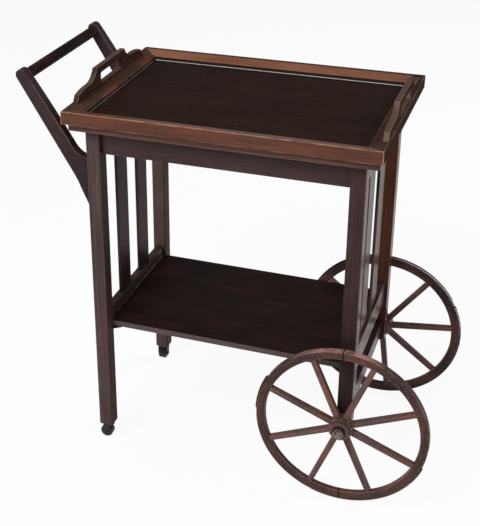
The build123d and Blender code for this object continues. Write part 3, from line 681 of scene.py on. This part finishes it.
def old_rubber(side):
    """Hard dark rubber with dust on it and a painted highlight along the upper right of its crown."""
    c, s = colours(), sizes()
    f = Finish(f"{side}_old_rubber")
    cracks = f.mottle(s.crack_size, 5.0, 0.65)
    clouds = f.noise(f.place(), (s.dust_patch, s.dust_patch_width, s.dust_patch), 4.0, 0.6)
    dust = f.spread(clouds, 0.5, 0.75, 0.0, ageing().tyre_dust)
    body = f.mix(dust, f.tint(c.rubber, f.vary(cracks, 0.7, 1.3)), c.rubber_dust)
    # Painted highlight along the crown, on the upper right only
    centre, _ = middle(f"{side}_wheel_hub")
    x, y, z = f.parts(f.moved(f.place(), tuple(-centre)))
    away = f.math("ABSOLUTE", f.math("ADD", y, s.chalk_offset))
    line = f.spread(away, s.chalk_width / 2, s.chalk_width / 4)
    reach = f.spread(f.math("ADD", x, z), s.chalk_start, s.chalk_full)
    f.surface(
        Base_Color=f.mix(f.math("MULTIPLY", line, reach), body, c.chalk),
        Roughness=f.vary(cracks, 0.5, 0.75),
        Normal=f.bump(cracks, s.crack_depth, 0.5),
        Specular_IOR_Level=0.1,
    )
    return f.material


def tray_glass():
    """Clear in the middle, ground pale along the back and left edges."""
    c, s = colours(), sizes()
    f = Finish("tray_glass")
    centre, half = middle("tray_glass")
    x, y, _ = f.parts(f.moved(f.place(), tuple(-centre)))
    back_start = half.y - s.ground_width
    left_start = s.ground_width / 2 - half.x
    back = f.spread(y, back_start, back_start + s.ground_fade)
    left = f.spread(x, left_start, left_start - s.ground_fade, 0.0, ageing().left_grind)
    ground = f.math("MAXIMUM", back, left)
    f.surface(
        Base_Color=f.mix(ground, WHITE, c.glass_edge),
        Roughness=f.spread(ground, 0.0, 1.0, 0.0, 0.5),
        Transmission_Weight=f.spread(ground, 0.0, 1.0, 1.0, 0.0),
        IOR=1.45,
        Specular_IOR_Level=0.12,
    )
    f.let_lamps_through()
    return f.material


def floor_paint(glow):
    """Pale paint that takes shadows, and that the camera, mirrors and glass see partly as plain white."""
    f = Finish("floor_paint")
    f.surface(Base_Color=colours().floor, Roughness=0.9, Specular_IOR_Level=0.1)
    ray = f.node("LightPath", {})
    seen = f.math("MAXIMUM", ray["Is Camera Ray"], ray["Is Glossy Ray"])
    seen = f.math("MAXIMUM", seen, ray["Is Transmission Ray"])
    f.blend(f.math("MULTIPLY", seen, glow), f.node("Emission", {"Strength": 1.0})["Emission"])
    return f.material


def dress(material, *names):
    """Puts a finish on CAD nodes."""
    for name in names:
        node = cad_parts[name]
        node.data.materials.clear()
        node.data.materials.append(material)


def every(pattern, words):
    """Node names from a pattern and the words that fill it."""
    return [pattern.format(word) for word in words]


class CART_OT_frame(bpy.types.Operator):
    """Stains the legs, aprons, end rails, slats, push handle and axle beam"""

    bl_idname = "cart.frame"
    bl_label = "Frame"

    def execute(self, context):
        c, s, age = colours(), sizes(), ageing()
        plain = (c.frame_stain, c.frame_deep, c.frame_worn)
        grey = (c.grey_stain, c.frame_stain, c.frame_worn)
        dark = (c.dark_stain, c.frame_deep, c.frame_worn)
        bar = (c.bar_stain, c.bar_stain, c.frame_worn)
        red = (c.red_stain, c.undertone, c.frame_worn)
        pink = (c.pink_stain, c.grey_stain, c.frame_worn)
        # Painted sheen on the wheel end faces of the leg, slat and lower rail
        sheen_leg = (right_face("leg_front_right", age.sun), c.bleached)
        sheen_slat = (right_face("slat_right_front", age.sun), c.bleached)
        sheen_rail = (right_face("lower_rail_right", age.sun), c.bleached)
        shaded = (right_face("leg_front_left", age.shade), c.panel_red)
        # Painted shade, darker towards the feet of the wheel end legs
        shaded_feet = (beside("Z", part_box("leg_front_right")[0][2], s.oil_reach, age.oil), c.grime)
        # Darker towards the foot of the back leg at the push end
        darkened_foot = (beside("Z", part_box("leg_back_left")[0][2], s.soil_reach, age.soil), c.frame_deep)
        # Painted shade on the left slats' lower ends
        slat_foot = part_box("lower_rail_left")[1][2]
        slat_soil = (beside("Z", slat_foot, s.slat_soil_reach, age.slat_soil), c.grime)
        # Rubbed wood and painted highlight on the push arms' rounded edges
        rubbed = (rounded_edge("Y", age.arm_edges), c.frame_worn)
        dress(oak("leg_oak", grain_z, *plain, patches=(sheen_leg, shaded_feet), **POLISH), "leg_front_right")
        dress(oak("red_leg_oak", grain_z, *red, patches=(sheen_leg, shaded_feet), **POLISH), "leg_back_right")
        # The front push end leg has a matt varnish; its sheen and light are painted into its grey stain
        dress(oak("grey_leg_oak", grain_z, *grey, wear=0.5, patches=(shaded,), **MATT), "leg_front_left")
        pink_leg = oak("pink_leg_oak", grain_z, *pink, wear=0.5, patches=(shaded, darkened_foot), **MATT)
        dress(pink_leg, "leg_back_left")
        left_slats = oak("left_slat_oak", grain_z, *plain, shine=0.03, patches=(slat_soil,))
        dress(left_slats, *every("slat_left_{}", SIDES))
        right_slats = oak("right_slat_oak", grain_z, *plain, patches=(sheen_slat,), **POLISH)
        dress(right_slats, *every("slat_right_{}", SIDES))
        dress(oak("left_rail_oak", grain_y, *plain), "upper_rail_left", "lower_rail_left")
        right_rails = oak("right_rail_oak", grain_y, *plain, patches=(sheen_rail,), **POLISH)
        dress(right_rails, "upper_rail_right", "lower_rail_right", "axle_beam")
        dress(oak("push_bar_oak", grain_y, *bar, wear=0.5, **MATT), "push_bar")
        dress(oak("apron_oak", grain_x, *plain), *every("apron_{}", SIDES), "arm_dowels")
        arms = oak("arm_oak", grain_arm, *dark, shine=0.04, patches=(rubbed,))
        dress(arms, *every("push_arm_{}", SIDES))
        return {"FINISHED"}


class CART_OT_boards(bpy.types.Operator):
    """Stains the top board, the shelf and its cleats"""

    bl_idname = "cart.boards"
    bl_label = "Boards"

    def execute(self, context):
        c, s = colours(), sizes()
        board_wood = (c.board_stain, c.frame_deep, c.frame_worn)
        dress(oak("top_board_oak", grain_x, *board_wood, wear=0.6, clean=0.9), "top_board")
        (left, front, _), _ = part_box("shelf")
        # The shelf's front edge is paler than its top
        paler = (beside("Y", front, s.shelf_edge), c.grey_stain)
        dusty = (broken(beside("X", left, s.dust_width)), c.dust)
        shelf_wood = (c.shelf_stain, c.shelf_deep, c.frame_worn)
        shelf = oak("shelf_oak", grain_x, *shelf_wood, c.panel_red, shine=0.04, patches=(paler, dusty))
        dress(shelf, "shelf")
        dress(oak("cleat_oak", grain_y, *shelf_wood, wear=0.4), *every("shelf_cleat_{}", ENDS))
        return {"FINISHED"}


class CART_OT_tray(bpy.types.Operator):
    """Stains the tray's moulding, handles and panel, and clears its glass"""

    bl_idname = "cart.tray"
    bl_label = "Tray"

    def execute(self, context):
        self.rails()
        self.handles()
        c = colours()
        panel_wood = (c.panel_stain, c.panel_deep, c.panel_stain, c.panel_red)
        panel = oak("panel_oak", grain_x, *panel_wood, wear=0.0, patches=((dust_specks, c.dust),))
        dress(panel, "tray_panel")
        dress(tray_glass(), "tray_glass")
        return {"FINISHED"}

    def rails(self):
        c, s = colours(), sizes()
        front_wood = (c.tray_stain, c.tray_deep, c.tray_worn, c.tray_red)
        back_wood = (c.back_stain, c.tray_red, c.tray_worn, c.tray_red)
        left_wood = (c.end_stain, c.end_deep, c.end_worn, c.end_red)
        right_wood = (c.handle_stain, c.handle_deep, c.end_worn)
        _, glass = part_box("tray_glass")
        _, tray = tray_box()
        lip_x, lip_y = glass[0] + s.lip_gap, glass[1] + s.lip_gap
        lips = [(beside("Y", place, s.lip_depth), c.lip) for place in (-lip_y, lip_y)]
        right_lip = (beside("X", lip_x, s.lip_depth), c.lip)
        # Rubbed wood and painted highlight along the tray's outer top edge
        front_arris_wear_and_highlight = (top_arris, c.tray_worn)
        end_arris_wear_and_highlight = (top_arris, c.end_worn)
        shade = (beside("Y", tray.y, s.back_edge), c.lip)
        dark_end = (beside("X", tray.x, s.back_end), c.handle_deep)
        front_patches = (front_arris_wear_and_highlight, *lips)
        back_patches = (*lips, shade, dark_end)
        satin = {"patchy": 0.7, "shine": 0.03, "clean": 0.85}
        front = oak("tray_oak_front", grain_x, *front_wood, patches=front_patches, **satin)
        back = oak("tray_oak_back", grain_x, *back_wood, shine=0.08, patches=back_patches)
        left = oak("tray_oak_left", grain_y, *left_wood, patchy=0.8, patches=(end_arris_wear_and_highlight,), **DRY)
        right = oak("tray_oak_right", grain_y, *right_wood, patches=(end_arris_wear_and_highlight, right_lip), **DRY)
        dress(front, "tray_rail_front")
        dress(back, "tray_rail_back")
        dress(left, "tray_rail_left")
        dress(right, "tray_rail_right")
        dress(oak("tray_dowel_oak", grain_z, *front_wood), "handle_dowels")

    def handles(self):
        c, age = colours(), ageing()
        wood = (c.handle_stain, c.handle_deep, c.end_worn)
        # Rubbed wood and painted highlight on rounded edges; painted highlight on upper faces and the right
        # handle's front faces
        edges = (rounded_edge("X", age.handle_edges), c.end_worn)
        top_highlight = (facing("Z", 1, age.handle_tops), c.end_worn)
        toe_highlight = (facing("Y", -1, age.handle_toes), c.end_worn)
        left = oak("left_handle_oak", grain_y, *wood, patches=(edges, top_highlight), **DRY)
        right = oak("right_handle_oak", grain_y, *wood, patches=(edges, top_highlight, toe_highlight), **DRY)
        dress(left, "tray_handle_left")
        dress(right, "tray_handle_right")


class CART_OT_wheels(bpy.types.Operator):
    """Stains the hubs, spokes and felloes, glues the felloe joints and blackens the tyres"""

    bl_idname = "cart.wheels"
    bl_label = "Wheels"

    def execute(self, context):
        c, s = colours(), sizes()
        hub_wood = (c.hub_stain, c.wheel_stain, c.wheel_worn, c.wheel_red)
        spoke_wood = (c.spoke_stain, c.spoke_deep, c.wheel_worn, c.spoke_red)
        look = {"patchy": 0.8, "flecks": 0.22}
        # A low clean gives the hub's grooves a strong painted shade
        hub = oak("hub_oak", grain_y, *hub_wood, rough=0.25, shine=0.3, clean=0.3, **look)
        for side, first in zip(SIDES, (s.front_spoke, s.back_spoke)):
            joint = first + s.joint_turn
            spokes = oak(f"{side}_spoke_oak", grain_spoke(side, first), *spoke_wood, rough=0.45, **look)
            dress(hub, f"{side}_wheel_hub")
            dress(spokes, f"{side}_wheel_spokes")
            dress(self.rim_oak(side, joint, look), f"{side}_wheel_felloes")
            dress(old_rubber(side), f"{side}_wheel_tyre")
            self.glue_lines(side, joint)
        return {"FINISHED"}

    def rim_oak(self, side, joint, look):
        """Oak of a rim: the front one is paler, with a bare tread and dirt in its joints."""
        c = colours()
        # Rubbed wood and painted highlight on the rim's rounded edges
        patches = [(rounded_edge("Y", ageing().rim_edges), c.wheel_worn)]
        wood = (c.back_rim_stain, c.back_rim_deep, c.wheel_worn, c.wheel_red)
        if side == "front":
            patches.append((bare_tread(side), c.wheel_worn))
            patches.append((felloe_joints(side, joint), c.grime))
            wood = (c.wheel_stain, c.wheel_deep, c.wheel_worn, c.wheel_red)
        return oak(f"{side}_rim_oak", grain_felloe(side, joint), *wood, rough=0.45, patches=patches, **look)

    def glue_lines(self, side, joint):
        """Fills the two joints of a rim with glue, so that no light shows through them."""
        s = sizes()
        centre, half = middle(f"{side}_wheel_felloes")
        inset = 2 * s.glue_inset
        bm = bmesh.new()
        for angle in (joint, joint + math.pi):
            line = bmesh.ops.create_cube(bm, size=1.0)["verts"]
            bmesh.ops.scale(bm, verts=line, vec=(s.felloe_depth - inset, 2 * half.y - inset, s.glue_width))
            bmesh.ops.translate(bm, verts=line, vec=(half.x - s.felloe_depth / 2, 0, 0))
            bmesh.ops.rotate(bm, verts=line, cent=(0, 0, 0), matrix=Matrix.Rotation(-angle, 3, "Y"))
            bmesh.ops.translate(bm, verts=line, vec=centre)
        bmesh.ops.bevel(
            bm, geom=bm.edges[:], offset=s.glue_width / 4, affect="EDGES", segments=1, profile=0.5,
            material=-1,
        )
        mesh = bpy.data.meshes.new(f"{side}_wheel_glue")
        bm.to_mesh(mesh)
        bm.free()
        glue = bpy.data.objects.new(f"{side}_wheel_glue", mesh)
        bpy.context.scene.collection.objects.link(glue)
        mesh.materials.append(old_glue())
        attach(glue, f"{side}_wheel")


class CART_OT_metal(bpy.types.Operator):
    """Finishes the axle, nuts, washers, bushes, screws and casters"""

    bl_idname = "cart.metal"
    bl_label = "Metal"

    def execute(self, context):
        c = colours()
        iron = blackened_iron()
        steel = tarnished_steel("tarnished_steel", c.steel, c.steel_rust)
        dress(steel, "axle_rod", "cap_nuts", "inner_washers", "board_screws")
        dress(tarnished_steel("rusty_steel", c.steel_rust, c.grime), "outer_washers")
        dress(dull_brass(), *every("{}_wheel_bush", SIDES))
        for part in ("socket", "fork", "pin", "roller"):
            dress(iron, *every(f"{{}}_caster_{part}", SIDES))
        return {"FINISHED"}


class CART_OT_stage(bpy.types.Operator):
    """Lays the floor, hangs the light and sets the camera"""

    bl_idname = "cart.stage"
    bl_label = "Stage"

    def execute(self, context):
        scene = context.scene
        stage = scene.cart_stage
        scene.view_settings.view_transform = "Standard"
        self.floor(scene, stage)
        self.dome(scene, stage)
        self.lamp(scene, stage, "key_light", stage.key_power, stage.key_place)
        self.lamp(scene, stage, "fill_light", stage.fill_power, stage.fill_place)
        self.camera(scene, stage)
        return {"FINISHED"}

    def floor(self, scene, stage):
        """A flat disc whose rim curves up into a backdrop."""
        radius, cove = stage.floor_radius, stage.cove_radius
        curve = [math.pi / 2 * step / COVE_SEGMENTS for step in range(COVE_SEGMENTS + 1)]
        profile = [(0.0, 0.0)]
        profile += [(radius + cove * math.sin(a), cove - cove * math.cos(a)) for a in curve]
        profile += [(radius + cove, stage.backdrop_height)]
        bm = bmesh.new()
        verts = [bm.verts.new((x, 0.0, z)) for x, z in profile]
        edges = [bm.edges.new(pair) for pair in zip(verts, verts[1:])]
        bmesh.ops.spin(
            bm, geom=verts + edges, cent=(0, 0, 0), axis=(0, 0, 1), angle=2 * math.pi, steps=FLOOR_SEGMENTS,
            use_merge=True,
        )
        bmesh.ops.remove_doubles(bm, verts=bm.verts[:], dist=MERGE_DISTANCE)
        bmesh.ops.recalc_face_normals(bm, faces=bm.faces[:])
        mesh = bpy.data.meshes.new("floor")
        bm.to_mesh(mesh)
        bm.free()
        floor = bpy.data.objects.new("floor", mesh)
        scene.collection.objects.link(floor)
        mesh.materials.append(floor_paint(stage.floor_glow))

    def dome(self, scene, stage):
        """A white light dome that fades towards the floor, the back and the left."""
        world = bpy.data.worlds.new("light_dome")
        scene.world = world
        world.use_nodes = True
        tree = world.node_tree
        way = tree.nodes.new("ShaderNodeSeparateXYZ")
        tree.links.new(tree.nodes.new("ShaderNodeTexCoord").outputs["Generated"], way.inputs["Vector"])
        # Limits of each part of the direction, and the share of light at either limit
        fades = {
            "Z": {"From Min": 0.0, "From Max": 1.0, "To Min": stage.low_sky, "To Max": stage.high_sky},
            "Y": {"From Min": 0.1, "From Max": 0.55, "To Min": 1.0, "To Max": stage.back_sky},
            "X": {"From Min": -0.8, "From Max": 0.8, "To Min": stage.left_sky, "To Max": 1.0},
        }
        level = None
        for axis, limits in fades.items():
            fade = tree.nodes.new("ShaderNodeMapRange")
            for name, value in limits.items():
                fade.inputs[name].default_value = value
            tree.links.new(way.outputs[axis], fade.inputs["Value"])
            shade = tree.nodes.new("ShaderNodeMath")
            shade.operation = "MULTIPLY"
            shade.inputs[1].default_value = 1.0
            tree.links.new(fade.outputs["Result"], shade.inputs[0])
            if level:
                tree.links.new(level, shade.inputs[1])
            level = shade.outputs["Value"]
        background = tree.nodes["Background"]
        tree.links.new(level, background.inputs["Strength"])
        background.inputs["Color"].default_value = (*WHITE, 1.0)

    def lamp(self, scene, stage, name, watts, place):
        """A square soft lamp, kept out of mirrors so that the tray's glass stays clear."""
        data = bpy.data.lights.new(name, "AREA")
        data.energy, data.size = watts, stage.lamp_size
        lamp = bpy.data.objects.new(name, data)
        aim = Vector(stage.lamp_aim) - Vector(place)
        lamp.location = place
        lamp.rotation_euler = aim.to_track_quat("-Z", "Y").to_euler()
        lamp.visible_glossy = False
        scene.collection.objects.link(lamp)

    def camera(self, scene, stage):
        data = bpy.data.cameras.new("camera")
        data.lens, data.shift_x, data.shift_y = stage.lens, stage.shift_x, stage.shift_y
        camera = bpy.data.objects.new("camera", data)
        turn = Matrix.Rotation(stage.yaw, 4, "Z") @ Matrix.Rotation(math.pi / 2 - stage.pitch, 4, "X")
        roll = Matrix.Rotation(stage.roll, 4, "Z")
        camera.matrix_world = Matrix.Translation(stage.place) @ turn @ roll
        scene.collection.objects.link(camera)
        scene.camera = camera


class CART_PT_panel(bpy.types.Panel):
    """Finishes, sizes and stage of the tea cart"""

    bl_label = "Tea Cart"
    bl_idname = "CART_PT_panel"
    bl_space_type = "VIEW_3D"
    bl_region_type = "UI"
    bl_category = "Tea Cart"

    def draw(self, context):
        for operator in OPERATORS:
            self.layout.operator(operator.bl_idname)
        for name, group in GROUPS.items():
            for value in group.__annotations__:
                self.layout.prop(getattr(context.scene, name), value)


GROUPS = {
    "cart_colours": CartColours,
    "cart_sizes": CartSizes,
    "cart_ageing": CartAgeing,
    "cart_stage": CartStage,
}
OPERATORS = (CART_OT_frame, CART_OT_boards, CART_OT_tray, CART_OT_wheels, CART_OT_metal, CART_OT_stage)
CLASSES = (*GROUPS.values(), *OPERATORS, CART_PT_panel)


def register():
    for cls in CLASSES:
        bpy.utils.register_class(cls)
    for name, group in GROUPS.items():
        setattr(bpy.types.Scene, name, PointerProperty(type=group))


def unregister():
    for name in GROUPS:
        delattr(bpy.types.Scene, name)
    for cls in reversed(CLASSES):
        bpy.utils.unregister_class(cls)


def main():
    register()
    bpy.ops.cart.frame()
    bpy.ops.cart.boards()
    bpy.ops.cart.tray()
    bpy.ops.cart.wheels()
    bpy.ops.cart.metal()
    bpy.ops.cart.stage()


if __name__ == "__main__":
    main()
